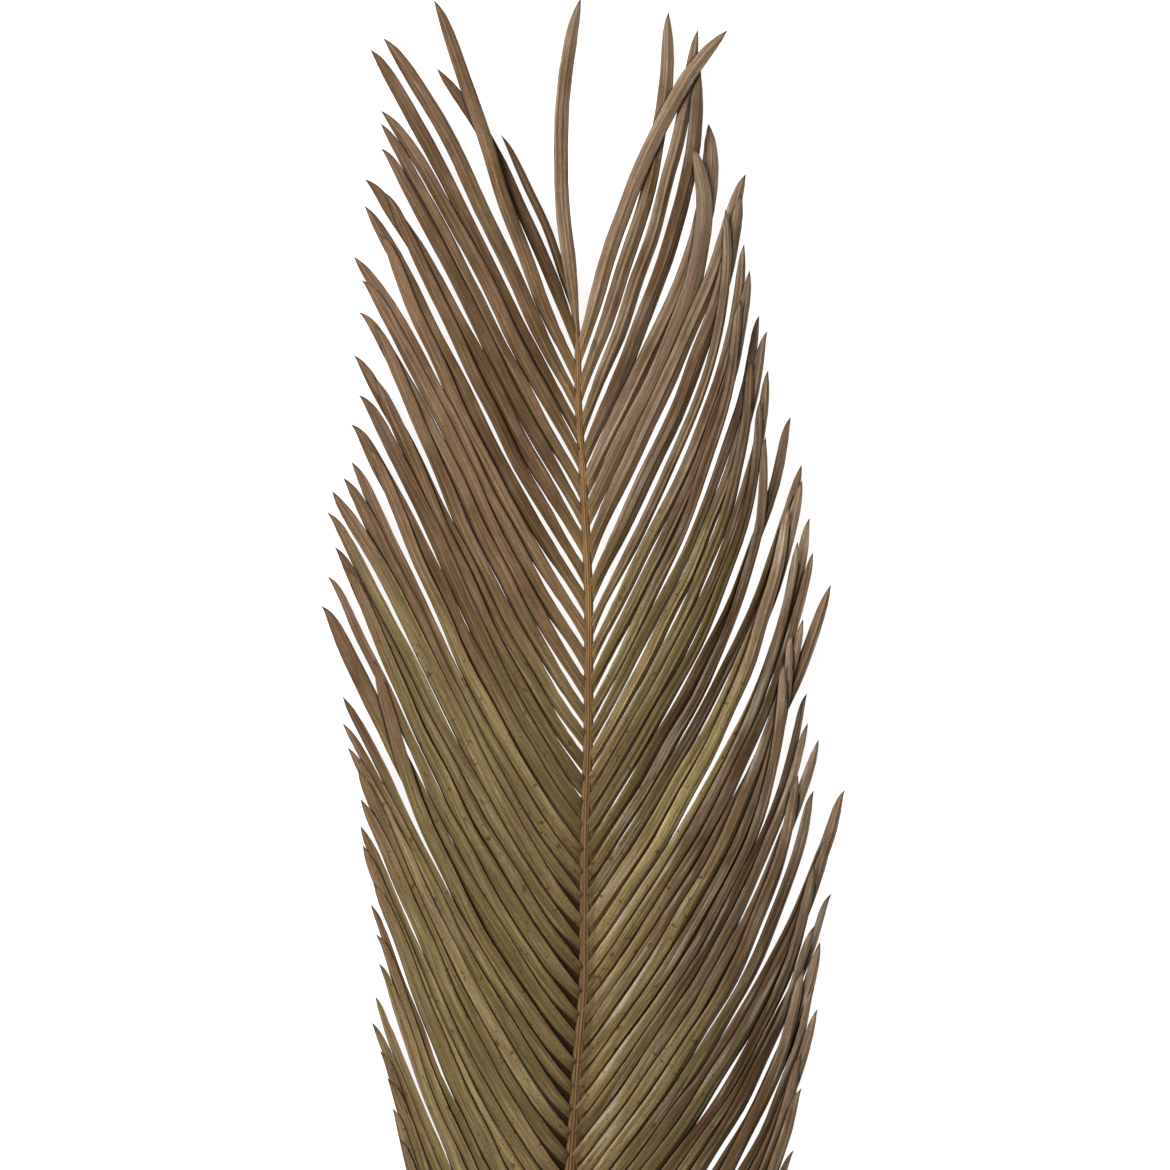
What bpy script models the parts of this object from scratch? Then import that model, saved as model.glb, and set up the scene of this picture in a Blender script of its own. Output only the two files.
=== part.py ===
"""A dried cycas leaf, cut at its stalk and lying on a surface.

The leaf grew as one piece: a bare stalk that runs on as the rachis, and stiff narrow leaflets along both
sides of it. Metres, +Z up, +Y towards the leaf's tip. The origin is under the middle of the leaf, on the
surface.
"""
import math
import random

import bmesh
import bpy
import numpy as np

NODE = "cycas_leaf"
MM = 0.001

# The rachis and the stalk below it, in millimetres from the top of the rachis: across, along
RACHIS_PATH = (
    (0, 2), (0, -26), (2, -62), (4, -113), (4, -143), (2.5, -207), (2.5, -241), (0, -278),
    (-3, -320), (-7, -368), (-10, -424), (-12, -490), (-12, -546), (-12, -606),
)
# Its full width and the height of its underside above the surface, by the distance below its top
RACHIS_WIDTH = ((0, 2.4), (30, 3.0), (90, 3.6), (240, 4.4), (330, 4.9), (450, 5.8), (540, 6.8), (606, 7.8))
RACHIS_LIFT = (
    (0, 7.0), (80, 11.0), (180, 14.0), (280, 14.0), (390, 9.0), (480, 3.0), (540, 0.0), (606, 0.0),
)
# Half of the rachis's section, as parts of its width: out from the middle, up from the underside
RACHIS_SECTION = ((0.30, 0.0), (0.49, 0.28), (0.39, 0.66), (0.15, 0.92))
RACHIS_STATIONS = 24
# The whole leaf is moved by this much, to stand its box over the origin
CENTRE_ACROSS = 2.0
CENTRE_ALONG = 243.0

# Leaflet tips, in millimetres from the top of the rachis: across, along, from the top leaflet down
END_TIP = (1, 120)
LEFT_TIPS = (
    (-29, 69), (-53, 94), (-54, 119), (-73, 105), (-78, 101), (-74, 78), (-74, 73), (-74, 64), (-80, 52),
    (-73, 47), (-80, 42), (-74, 31), (-84, 23), (-81, 14), (-82, 2), (-76, -3), (-84, -14), (-76, -23),
    (-82, -29), (-85, -40), (-78, -49), (-85, -54), (-88, -60), (-92, -65), (-94, -73), (-91, -86),
    (-86, -94), (-94, -97), (-96, -108), (-76, -128), (-88, -142), (-88, -152), (-86, -161), (-82, -169),
    (-81, -180), (-81, -190), (-80, -197), (-76, -211), (-77, -219), (-75, -230), (-74, -241), (-76, -255),
    (-77, -264), (-74, -274), (-71, -284), (-69, -295), (-66, -306), (-64, -318),
)
RIGHT_TIPS = (
    (56, 108), (34, 115), (45, 108), (46, 93), (49, 73), (43, 63), (63, 54), (61, 46), (55, 40), (62, 27),
    (64, 17), (61, 6), (68, 1), (71, -5), (65, -16), (71, -20), (68, -31), (80, -37), (70, -45), (84, -55),
    (84, -61), (79, -71), (87, -75), (82, -84), (88, -88), (95, -100), (84, -113), (80, -118), (77, -129),
    (86, -141), (86, -152), (90, -158), (82, -171), (88, -177), (100, -177), (96, -192), (88, -204),
    (95, -216), (88, -227), (90, -233), (84, -243), (88, -250), (89, -258), (83, -274), (83, -287),
    (80, -310), (77, -320),
)
# Where the leaflets leave the rachis, in millimetres below its top
LEFT_FIRST = 1.0
RIGHT_ROOTS = (16, 30, 43, 55, 66, 77, 90, 105, 118, 129, 140)
SPACINGS = ((0, 10.7), (140, 10.7), (144, 8.8), (430, 8.8), (450, 11.0), (536, 11.0))
LAST_LEAFLET = 536
# Small spines on the stalk, below the last leaflets: where they stand, their size and their turn outwards,
# and how far out in the stalk's width their middle is seated
SPINE_ROOTS = (548, 557, 566, 576)
SPINE_LENGTH, SPINE_THICKNESS, SPINE_ANGLE = 4.5, 1.9, 48.0
SPINE_SIDES = 6
SPINE_SEAT = 0.42
SPINE_STAGGER = 1.0

# The full width of a leaflet's blade by the distance of its root below the top, in millimetres
BLADE_WIDTHS = {
    "left": ((0, 5.4), (140, 5.9), (220, 7.5), (450, 7.4), (536, 5.4)),
    "right": ((0, 5.4), (140, 5.6), (230, 6.7), (450, 6.8), (536, 5.4)),
}
BLADE_THICKNESS = 0.7
TIP_WIDTH = 0.4
# A short leaflet is no wider than this much, and this share of its length more
NARROWEST, WIDTH_BY_LENGTH = 1.8, 0.075
# A blade's width just outside the rachis as a share of its full width, by the distance below the top, and
# its width inside the rachis as a share of the rachis's
ROOT_SHARES = ((0, 0.62), (130, 0.66), (220, 0.92), (536, 0.90))
ROOT_IN_RACHIS = 0.68
# Its width before the tip's taper as a share of its full width, and how late it narrows to that
OUTER_SHARES = ((0, 0.96), (140, 0.92), (240, 0.76), (536, 0.78))
OUTER_POWER = 1.6
# How high a root sits in the rachis, as a share of the rachis's width
ROOT_HEIGHT = 0.42
# Where along a leaflet its blade reaches its full width, and how quickly it widens from its tip: over a
# length in millimetres, or over this share of a short leaflet
WIDENS_UNTIL, TAPER_LENGTH, TAPER_SHARE = 0.24, 7.2, 0.16
# The midrib stands up in a fold of this share of the blade's width
KEEL_SHARE = 0.07
# The blades lie like shingles, with the edge that faces the leaf's tip turned up by this angle, more or less
TILT, TILT_SPREAD = 15.0, 4.0
# A leaflet arches up by this share of its length, and comes down to its tip late by this power
ARCH, DROOP_POWER = 0.036, 1.3
# Tips are drawn between these heights, and those under the first one lie on the surface
LYING_TIP, LOW_TIP, HIGH_TIP = 0.35, -2.0, 5.0
# The lowest leaflet's length and angle, and how late the last ones shorten to it
SHORT_LENGTH, SHORT_ANGLE, SHORTENING = 12.0, 38.0, 0.8
# The seed of the draws, and how far root angles, tip turns and widths differ by them
SEED = 7
ANGLE_SPREAD, TURN_SPREAD, WIDTH_SPREAD = 1.0, 3.0, 0.07
# The angle between the rachis and a leaflet's root, by the distance below the top, in degrees
ROOT_ANGLES = {
    "left": ((0, 27), (50, 33), (106, 36), (240, 40), (330, 40), (536, 43)),
    "right": ((0, 21), (107, 25.5), (160, 29), (250, 35), (330, 38), (536, 43)),
}
# The turn of its tip outwards from the straight line between root and tip, in degrees
TIP_TURNS = {
    "left": ((0, 5), (150, 4), (300, -2), (536, -6)),
    "right": ((0, -11), (130, -17), (536, -18)),
}
# A leaflet whose tip is out of line with its neighbours' bends towards it in its outer part, by this many
# times the angle, and by no more than so many degrees
BEND_TO_TIP, MOST_BEND = 3.0, 22.0
NEIGHBOURS = 3
# Leaflets that differ: side, number from the top, and what differs
ODD_LEAFLETS = {
    ("left", 0): {"width": 3.2, "root_angle": 17, "tip_turn": 6},
    ("left", 1): {"width": 5.0, "root_angle": 21, "tip_turn": 12},
    ("left", 2): {"root_angle": 29, "tip_turn": 2},
    ("left", 9): {"width": 4.8},
    ("left", 12): {"width": 6.2},
    ("right", 0): {"root_angle": 17, "tip_turn": 19, "layer": 60, "width": 5.9},
    ("right", 1): {"root_angle": 21, "tip_turn": -15, "width": 5.6},
    ("right", 2): {"root_angle": 23, "tip_turn": -9, "width": 5.5},
    ("right", 3): {"root_angle": 24, "tip_turn": -16, "width": 6.4},
    ("right", 4): {"root_angle": 22.5, "tip_turn": -26, "width": 7.6},
    ("right", 5): {"root_angle": 23, "tip_turn": -36, "width": 7.8},
    ("right", 6): {"root_angle": 23, "tip_turn": -8, "width": 6.8},
    ("right", 7): {"width": 6.6},
    ("right", 8): {"width": 4.6},
}
# The leaflet that ends the leaf
END_LEAFLET = {
    "sign": 1, "root": 2.0, "tip": END_TIP, "root_angle": -10, "tip_turn": 15, "width": 5.6,
    "layer": 0.6, "tip_height": 2.0, "tilt": TILT,
}

# Places along a leaflet, from root to tip, where its edges have a height of their own
STATIONS = np.array((0.0, 0.035, 0.25, 0.5, 0.76, 0.93, 1.0))
# Leaflets that lie over each other are set apart by this much between their middle surfaces, in millimetres
CLEARANCE = 1.25
# Where overlaps are looked for: from this part of a leaflet to its tip, at so many places, and this far out
# beyond the other blade's edge
FIRST_PLACE, PLACES, BEYOND_EDGE = 0.12, 23, 0.4
WIDEST = 8.0
# How the leaflets give way: the share of a gap made up in each step, the stiffness of a blade along its
# length, how strongly it springs back, and the steepest lean of a blade in degrees
SETTLING_STEPS = 500
MADE_UP, STIFFNESS, SPRING_BACK, STEEPEST = 1.4, 0.12, 0.004, 50.0


def smooth_table(table, at):
    """Reads a table of (place, value) pairs on a smooth curve that never goes past its values."""
    places, values = np.array(table, dtype=float).T
    secants = np.diff(values) / np.diff(places)
    before, after = np.append(secants[0], secants), np.append(secants, secants[-1])
    same_way = before * after > 0
    slopes = np.where(same_way, 2 * before * after / np.where(same_way, before + after, 1), 0)
    at = np.clip(np.asarray(at, dtype=float), places[0], places[-1])
    i = np.clip(np.searchsorted(places, at, side="right") - 1, 0, len(places) - 2)
    span = places[i + 1] - places[i]
    s = (at - places[i]) / span
    rise = values[i] * (1 + 2 * s) * (1 - s) ** 2 + values[i + 1] * s * s * (3 - 2 * s)
    lean = slopes[i] * s * (1 - s) ** 2 - slopes[i + 1] * s * s * (1 - s)
    return rise + lean * span


def rachis_point(below):
    """The place across and along, and the width and height of the underside, at a distance below the top."""
    across = smooth_table([(-along, across) for across, along in RACHIS_PATH], below)
    return across, -below, smooth_table(RACHIS_WIDTH, below), smooth_table(RACHIS_LIFT, below)


def leaflet_roots():
    """The distances below the top where leaflets leave the rachis, for each side."""
    roots = {"left": [LEFT_FIRST], "right": list(RIGHT_ROOTS)}
    for side in roots.values():
        while side[-1] < LAST_LEAFLET:
            side.append(side[-1] + float(smooth_table(SPACINGS, side[-1])))
    return roots


def leaflet_tip(side, number, below, tips):
    """The tip of a leaflet: a listed one, or below those one that shortens towards the stalk."""
    sign = -1 if side == "left" else 1
    if number < len(tips):
        return tips[number]
    listed_root = leaflet_roots()[side][len(tips) - 1]
    across, along, _, _ = rachis_point(listed_root)
    full = math.hypot(tips[-1][0] - across, tips[-1][1] - along)
    left_to_go = (LAST_LEAFLET - below) / (LAST_LEAFLET - listed_root)
    left_to_go = max(left_to_go, 0.0)
    length = SHORT_LENGTH + (full - SHORT_LENGTH) * left_to_go ** SHORTENING
    full_angle = math.degrees(math.atan2(abs(tips[-1][0] - across), tips[-1][1] - along))
    angle = math.radians(full_angle + (SHORT_ANGLE - full_angle) * (1 - left_to_go))
    across, along, _, _ = rachis_point(below)
    return across + sign * length * math.sin(angle), along + length * math.cos(angle)


def straight_angle(leaflet):
    """The angle outwards from the leaf's length to the straight line between a leaflet's root and tip."""
    across, along, _, _ = rachis_point(leaflet["root"])
    return math.degrees(math.atan2((leaflet["tip"][0] - across) * leaflet["sign"], leaflet["tip"][1] - along))


def bend_to_tips(row):
    """Keeps one side's leaflets evenly spread in their inner parts, and bends the outer parts to the tips."""
    angles = [straight_angle(leaflet) for leaflet in row]
    for number, leaflet in enumerate(row):
        near = angles[max(number - NEIGHBOURS, 0):number + NEIGHBOURS + 1]
        turn = BEND_TO_TIP * (angles[number] - sum(near) / len(near))
        leaflet["tip_turn"] += min(max(turn, -MOST_BEND), MOST_BEND)


def list_leaflets():
    """Every leaflet's place and proportions, in millimetres and degrees, by one rule with a seeded draw."""
    draw = random.Random(SEED)
    leaflets = []
    for side, roots in leaflet_roots().items():
        sign = -1 if side == "left" else 1
        tips = LEFT_TIPS if side == "left" else RIGHT_TIPS
        row = []
        for number, below in enumerate(roots):
            leaflet = {
                "sign": sign,
                "root": below,
                "tip": leaflet_tip(side, number, below, tips),
                "root_angle": smooth_table(ROOT_ANGLES[side], below) + ANGLE_SPREAD * draw.uniform(-1, 1),
                "tip_turn": smooth_table(TIP_TURNS[side], below) + TURN_SPREAD * draw.uniform(-1, 1),
                "width": smooth_table(BLADE_WIDTHS[side], below) * (1 + WIDTH_SPREAD * draw.uniform(-1, 1)),
                "layer": number + (0.5 if sign > 0 else 0.0),
                "tip_height": max(draw.uniform(LOW_TIP, HIGH_TIP), LYING_TIP),
                "tilt": TILT + draw.uniform(-1, 1) * TILT_SPREAD,
            }
            row.append(leaflet)
        bend_to_tips(row)
        for number, leaflet in enumerate(row):
            leaflet.update(ODD_LEAFLETS.get((side, number), {}))
        leaflets += row
    return leaflets + [END_LEAFLET]


def plan_line(leaflet, t):
    """The middle line of a leaflet seen from above: its points and its directions, root to tip."""
    across, along, _, _ = rachis_point(leaflet["root"])
    root = np.array((across, along))
    chord = np.array(leaflet["tip"]) - root
    length = np.linalg.norm(chord)
    root_angle = math.radians(leaflet["root_angle"]) * leaflet["sign"]
    tip_angle = math.atan2(chord[0], chord[1]) + math.radians(leaflet["tip_turn"]) * leaflet["sign"]
    root_way = length * np.array((math.sin(root_angle), math.cos(root_angle)))
    tip_way = length * np.array((math.sin(tip_angle), math.cos(tip_angle)))
    t = np.asarray(t, dtype=float)[:, None]
    place = root + chord * t * t * (3 - 2 * t) + root_way * t * (1 - t) ** 2 - tip_way * t * t * (1 - t)
    way = chord * 6 * t * (1 - t) + root_way * (1 - t) * (1 - 3 * t) + tip_way * t * (3 * t - 2)
    return place, way / np.linalg.norm(way, axis=1)[:, None]


def length_of(leaflet):
    """The straight length from root to tip."""
    across, along, _, _ = rachis_point(leaflet["root"])
    return math.hypot(leaflet["tip"][0] - across, leaflet["tip"][1] - along)


def half_width(leaflet, t):
    """Half of a blade's width along it: narrower at the root, even, then drawn out to a point."""
    t = np.asarray(t, dtype=float)
    full = min(leaflet["width"], NARROWEST + WIDTH_BY_LENGTH * length_of(leaflet))
    rise = np.clip(t / WIDENS_UNTIL, 0, 1)
    root_share = smooth_table(ROOT_SHARES, leaflet["root"])
    share = root_share + (1 - root_share) * rise * rise * (3 - 2 * rise)
    share = share - (1 - smooth_table(OUTER_SHARES, leaflet["root"])) * t ** OUTER_POWER
    taper = min(TAPER_LENGTH, TAPER_SHARE * length_of(leaflet))
    width = full * share * (1 - np.exp(-(1 - t) * length_of(leaflet) / taper))
    root = ROOT_IN_RACHIS * rachis_point(leaflet["root"])[2]
    width = np.where(t < STATIONS[1], root + (width - root) * t / STATIONS[1], width)
    return width / 2


def outward(leaflet, way):
    """The direction across the blade towards the edge that faces the leaf's tip."""
    return np.stack((-way[:, 1], way[:, 0]), axis=1) * leaflet["sign"]


def wanted_heights(leaflet):
    """The heights that the two edges of a leaflet would take by themselves: tip side, stalk side."""
    _, _, width, lift = rachis_point(leaflet["root"])
    root = lift + ROOT_HEIGHT * width
    arch = ARCH * length_of(leaflet) * 4 * STATIONS * (1 - STATIONS)
    middle = root + (leaflet["tip_height"] - root) * STATIONS ** DROOP_POWER + arch
    lean = half_width(leaflet, STATIONS) * math.sin(math.radians(leaflet["tilt"]))
    lean[0] = 0.0
    return middle + lean, middle - lean


def station_weights(t):
    """The station before a place along a leaflet, and how far it is on from there to the next one."""
    i = np.clip(np.searchsorted(STATIONS, t, side="right") - 1, 0, len(STATIONS) - 2)
    return i, (t - STATIONS[i]) / (STATIONS[i + 1] - STATIONS[i])


def find_contacts(leaflets):
    """Every sample point of a leaflet that lies over or under another one, seen from above."""
    t = np.linspace(FIRST_PLACE, 1.0, PLACES)
    shapes = []
    for leaflet in leaflets:
        place, way = plan_line(leaflet, t)
        shapes.append((place, outward(leaflet, way), half_width(leaflet, t)))
    rows = []
    for a, (place_a, side_a, half_a) in enumerate(shapes):
        for b, (place_b, side_b, half_b) in enumerate(shapes):
            apart = np.maximum(place_a.min(0) - place_b.max(0), place_b.min(0) - place_a.max(0)).max()
            if a == b or apart > WIDEST:
                continue
            start = place_b[:-1]
            span = place_b[1:] - start
            for v in (-1.0, 0.0, 1.0):
                points = place_a + side_a * (v * half_a)[:, None]
                to_point = points[:, None, :] - start[None]
                s = np.einsum("psk,sk->ps", to_point, span) / np.einsum("sk,sk->s", span, span)
                inside = (s >= 0) & (s <= 1)
                off = to_point - np.clip(s, 0, 1)[:, :, None] * span
                far = np.where(inside, np.linalg.norm(off, axis=2), np.inf)
                nearest = far.argmin(1)
                for p in np.nonzero(far.min(1) < WIDEST)[0]:
                    n = nearest[p]
                    lateral = off[p, n] @ side_b[n]
                    half = half_b[n]
                    if abs(lateral) <= half + BEYOND_EDGE:
                        other = t[n] + (t[n + 1] - t[n]) * min(max(s[p, n], 0.0), 1.0)
                        rows.append((a, t[p], v, b, other, min(max(lateral / half, -1.0), 1.0)))
    return np.array(rows)


def settle(leaflets):
    """Heights of the leaflets' two edges at the stations, with those that overlap resting on each other."""
    wanted = np.array([wanted_heights(leaflet) for leaflet in leaflets])
    halves = np.array([half_width(leaflet, STATIONS) for leaflet in leaflets])
    layers = np.array([leaflet["layer"] for leaflet in leaflets])
    rows = find_contacts(leaflets)
    a, b = rows[:, 0].astype(int), rows[:, 3].astype(int)
    upper = np.where(layers[a] > layers[b], 1.0, -1.0)
    parts = []
    for who, t, v in ((a, rows[:, 1], rows[:, 2]), (b, rows[:, 4], rows[:, 5])):
        i, s = station_weights(t)
        for edge, share in ((0, (1 + v) / 2), (1, (1 - v) / 2)):
            parts.append((who, edge, i, share * (1 - s)))
            parts.append((who, edge, i + 1, share * s))
    signs = (1, 1, 1, 1, -1, -1, -1, -1)
    heights = wanted.copy()
    most_lean = halves[:, None, :] * math.sin(math.radians(STEEPEST))
    for _ in range(SETTLING_STEPS):
        gap = np.zeros(len(rows))
        for sign, (who, edge, i, weight) in zip(signs, parts):
            gap += sign * weight * heights[who, edge, i]
        push = np.maximum(CLEARANCE - gap * upper, 0.0) * upper / 2
        moved = np.zeros_like(heights)
        total = np.zeros_like(heights)
        for sign, (who, edge, i, weight) in zip(signs, parts):
            np.add.at(moved, (who, edge, i), sign * weight * push)
            np.add.at(total, (who, edge, i), weight * (push != 0))
        heights += MADE_UP * moved / np.maximum(total, 1.0)
        bend = heights - wanted
        bend[:, :, 1:-1] += STIFFNESS * (bend[:, :, :-2] + bend[:, :, 2:] - 2 * bend[:, :, 1:-1])
        heights = wanted + bend * (1 - SPRING_BACK)
        middle = heights.mean(axis=1, keepdims=True)
        heights = middle + np.clip(heights - middle, -most_lean, most_lean)
        heights[:, :, 0] = wanted[:, :, 0]
        heights = np.maximum(heights, BLADE_THICKNESS / 2)
    return heights


def surface_points(leaflet, heights):
    """Points of a blade's middle surface at the stations: tip side, midrib and stalk side."""
    place, way = plan_line(leaflet, STATIONS)
    side = outward(leaflet, way)
    half = half_width(leaflet, STATIONS)
    lean = (heights[0] - heights[1]) / 2
    reach = np.sqrt(np.maximum(half * half - lean * lean, 0.0))
    middle = heights.mean(axis=0)
    keel = KEEL_SHARE * half * 2
    rows = []
    for v in (1, 0, -1):
        flat = place + side * (v * reach)[:, None]
        rows.append(np.column_stack((flat, middle + v * lean + (keel if v == 0 else 0))))
    return np.stack(rows, axis=1)


def to_world(point):
    """From millimetres from the top of the rachis to metres from the origin."""
    return ((point[0] - CENTRE_ACROSS) * MM, (point[1] + CENTRE_ALONG) * MM, point[2] * MM)


def clear_scene():
    """Removes every object that the file starts with."""
    for item in list(bpy.data.objects):
        bpy.data.objects.remove(item, do_unlink=True)


def make_material():
    """Dried leaf, taupe brown with a slight sheen."""
    material = bpy.data.materials.new("dried_leaf")
    material.use_nodes = True
    shader = material.node_tree.nodes["Principled BSDF"]
    shader.inputs["Base Color"].default_value = (0.165, 0.115, 0.070, 1)
    shader.inputs["Roughness"].default_value = 0.62
    shader.inputs["Metallic"].default_value = 0.0
    return material


def make_collection(name):
    """A new collection in the scene."""
    collection = bpy.data.collections.new(name)
    bpy.context.scene.collection.children.link(collection)
    return collection


def make_blade(name, points, collection):
    """One leaflet: a grid of three points across, laid on the blade's middle surface and thickened."""
    across, along = points.shape[1] - 1, points.shape[0] - 1
    mesh = bpy.data.meshes.new(name)
    grid = bmesh.new()
    bmesh.ops.create_grid(grid, x_segments=across, y_segments=along, size=0.5)
    for vertex in grid.verts:
        i = round((vertex.co.x + 0.5) * across)
        j = round((vertex.co.y + 0.5) * along)
        vertex.co = to_world(points[j, i])
    bmesh.ops.remove_doubles(grid, verts=grid.verts[:], dist=TIP_WIDTH * MM)
    bmesh.ops.triangulate(grid, faces=grid.faces[:])
    bmesh.ops.recalc_face_normals(grid, faces=grid.faces[:])
    grid.to_mesh(mesh)
    grid.free()
    blade = bpy.data.objects.new(name, mesh)
    collection.objects.link(blade)
    solid = blade.modifiers.new("thickness", "SOLIDIFY")
    solid.thickness = BLADE_THICKNESS * MM
    solid.offset = 0.0
    return blade


def make_spine(name, sign, below, collection):
    """A short spine that points out and forwards from the side of the stalk."""
    across, along, width, lift = rachis_point(below)
    angle = math.radians(SPINE_ANGLE) * sign
    mesh = bpy.data.meshes.new(name)
    cone = bmesh.new()
    bmesh.ops.create_cone(cone, cap_ends=True, segments=SPINE_SIDES, radius1=SPINE_THICKNESS / 2 * MM,
                          radius2=TIP_WIDTH / 2 * MM, depth=2 * SPINE_LENGTH * MM)
    cone.to_mesh(mesh)
    cone.free()
    spine = bpy.data.objects.new(name, mesh)
    spine.rotation_euler = (math.radians(-90), 0, -angle)
    edge = (across + sign * SPINE_SEAT * width, along, lift + ROOT_HEIGHT * width)
    spine.location = to_world(edge)
    collection.objects.link(spine)


def make_rachis(collection):
    """The rachis and stalk: a flat-bottomed section swept along its path, closed at both ends."""
    section = bpy.data.curves.new("rachis_section", "CURVE")
    ring = [(out, up) for out, up in RACHIS_SECTION] + [(-out, up) for out, up in reversed(RACHIS_SECTION)]
    spline = section.splines.new("POLY")
    spline.points.add(len(ring) - 1)
    for point, (out, up) in zip(spline.points, ring):
        point.co = (out, up, 0, 1)
    spline.use_cyclic_u = True
    section_object = bpy.data.objects.new("rachis_section", section)
    collection.objects.link(section_object)
    path = bpy.data.curves.new("rachis", "CURVE")
    path.dimensions = "3D"
    path.bevel_mode = "OBJECT"
    path.bevel_object = section_object
    path.use_fill_caps = True
    path.twist_mode = "Z_UP"
    line = path.splines.new("POLY")
    line.points.add(RACHIS_STATIONS - 1)
    top, end = -RACHIS_PATH[0][1], -RACHIS_PATH[-1][1]
    for point, below in zip(line.points, np.linspace(top, end, RACHIS_STATIONS)):
        across, along, width, lift = rachis_point(below)
        point.co = (*to_world((across, along, lift)), 1)
        point.radius = width * MM
    rachis_curve = bpy.data.objects.new("rachis_curve", path)
    collection.objects.link(rachis_curve)
    bpy.context.view_layer.update()
    evaluated = rachis_curve.evaluated_get(bpy.context.evaluated_depsgraph_get())
    mesh = bpy.data.meshes.new_from_object(evaluated)
    tidy = bmesh.new()
    tidy.from_mesh(mesh)
    bmesh.ops.remove_doubles(tidy, verts=tidy.verts[:], dist=0.00001)
    bmesh.ops.recalc_face_normals(tidy, faces=tidy.faces[:])
    tidy.to_mesh(mesh)
    tidy.free()
    for item in (rachis_curve, section_object):
        bpy.data.objects.remove(item, do_unlink=True)
    rachis = bpy.data.objects.new(NODE, mesh)
    collection.objects.link(rachis)
    return rachis


def join(body, pieces):
    """Joins every object of a collection to a body by one Boolean union, and removes the collection."""
    union = body.modifiers.new("union", "BOOLEAN")
    union.operation = "UNION"
    union.operand_type = "COLLECTION"
    union.collection = pieces
    union.solver = "MANIFOLD"
    bpy.context.view_layer.update()
    evaluated = body.evaluated_get(bpy.context.evaluated_depsgraph_get())
    mesh = bpy.data.meshes.new_from_object(evaluated)
    body.modifiers.remove(union)
    body.data = mesh
    for item in list(pieces.objects):
        bpy.data.objects.remove(item, do_unlink=True)
    bpy.data.collections.remove(pieces)


def main():
    clear_scene()
    leaf_parts = make_collection("dried_cycas_leaf")
    blades = make_collection("leaflets")
    rachis = make_rachis(leaf_parts)
    leaflets = list_leaflets()
    heights = settle(leaflets)
    for number, leaflet in enumerate(leaflets):
        make_blade(f"leaflet_{number:03d}", surface_points(leaflet, heights[number]), blades)
    for number, below in enumerate(SPINE_ROOTS):
        for sign in (-1, 1):
            make_spine(f"spine_{number}_{sign}", sign, below + sign * SPINE_STAGGER, blades)
    join(rachis, blades)
    rachis.data.materials.clear()
    rachis.data.materials.append(make_material())


main()
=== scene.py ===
"""The looks of a dried cycas leaf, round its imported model.

The leaf's one solid is replaced by three fine pieces of the same form: the rachis with the stalk, and the
leaflets of each side. They follow the same rule and the same seeded draws as the solid, with finer edges,
midribs and waves. Sizes are in millimetres from the top of the rachis until to_world() turns them into
metres.
"""

import math
import random

import bpy
import numpy as np
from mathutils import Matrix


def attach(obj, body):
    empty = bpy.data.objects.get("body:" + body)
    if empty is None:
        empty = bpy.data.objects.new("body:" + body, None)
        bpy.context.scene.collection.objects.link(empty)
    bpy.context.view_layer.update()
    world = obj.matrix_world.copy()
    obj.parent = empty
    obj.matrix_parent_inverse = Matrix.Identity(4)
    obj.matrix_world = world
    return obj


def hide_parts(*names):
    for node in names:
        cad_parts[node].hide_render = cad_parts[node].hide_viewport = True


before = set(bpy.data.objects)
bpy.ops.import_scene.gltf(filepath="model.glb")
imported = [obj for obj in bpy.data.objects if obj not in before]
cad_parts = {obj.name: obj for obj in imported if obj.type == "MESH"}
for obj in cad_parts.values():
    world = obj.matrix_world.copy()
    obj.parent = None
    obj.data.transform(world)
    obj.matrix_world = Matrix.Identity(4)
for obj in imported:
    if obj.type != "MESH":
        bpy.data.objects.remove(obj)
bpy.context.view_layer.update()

NODE = "cycas_leaf"
MM = 0.001

# The rachis and the stalk below it, in millimetres from the top of the rachis: across, along
RACHIS_PATH = (
    (0, 2), (0, -26), (2, -62), (4, -113), (4, -143), (2.5, -207), (2.5, -241), (0, -278),
    (-3, -320), (-7, -368), (-10, -424), (-12, -490), (-12, -546), (-12, -606),
)
# Its full width and the height of its underside above the surface, by the distance below its top
RACHIS_WIDTH = ((0, 2.4), (30, 3.0), (90, 3.6), (240, 4.4), (330, 4.9), (450, 5.8), (540, 6.8), (606, 7.8))
RACHIS_LIFT = (
    (0, 7.0), (80, 11.0), (180, 14.0), (280, 14.0), (390, 9.0), (480, 3.0), (540, 0.0), (606, 0.0),
)
CUT_END = -RACHIS_PATH[-1][1]
# The whole leaf is moved by this much, to stand its box over the origin
CENTRE_ACROSS = 2.0
CENTRE_ALONG = 243.0

# Leaflet tips from the top leaflet down, in millimetres from the top of the rachis: across, along
END_TIP = (1, 120)
LEFT_TIPS = (
    (-29, 69), (-53, 94), (-54, 119), (-73, 105), (-78, 101), (-74, 78), (-74, 73), (-74, 64), (-80, 52),
    (-73, 47), (-80, 42), (-74, 31), (-84, 23), (-81, 14), (-82, 2), (-76, -3), (-84, -14), (-76, -23),
    (-82, -29), (-85, -40), (-78, -49), (-85, -54), (-88, -60), (-92, -65), (-94, -73), (-91, -86),
    (-86, -94), (-94, -97), (-96, -108), (-76, -128), (-88, -142), (-88, -152), (-86, -161), (-82, -169),
    (-81, -180), (-81, -190), (-80, -197), (-76, -211), (-77, -219), (-75, -230), (-74, -241), (-76, -255),
    (-77, -264), (-74, -274), (-71, -284), (-69, -295), (-66, -306), (-64, -318),
)
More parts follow.
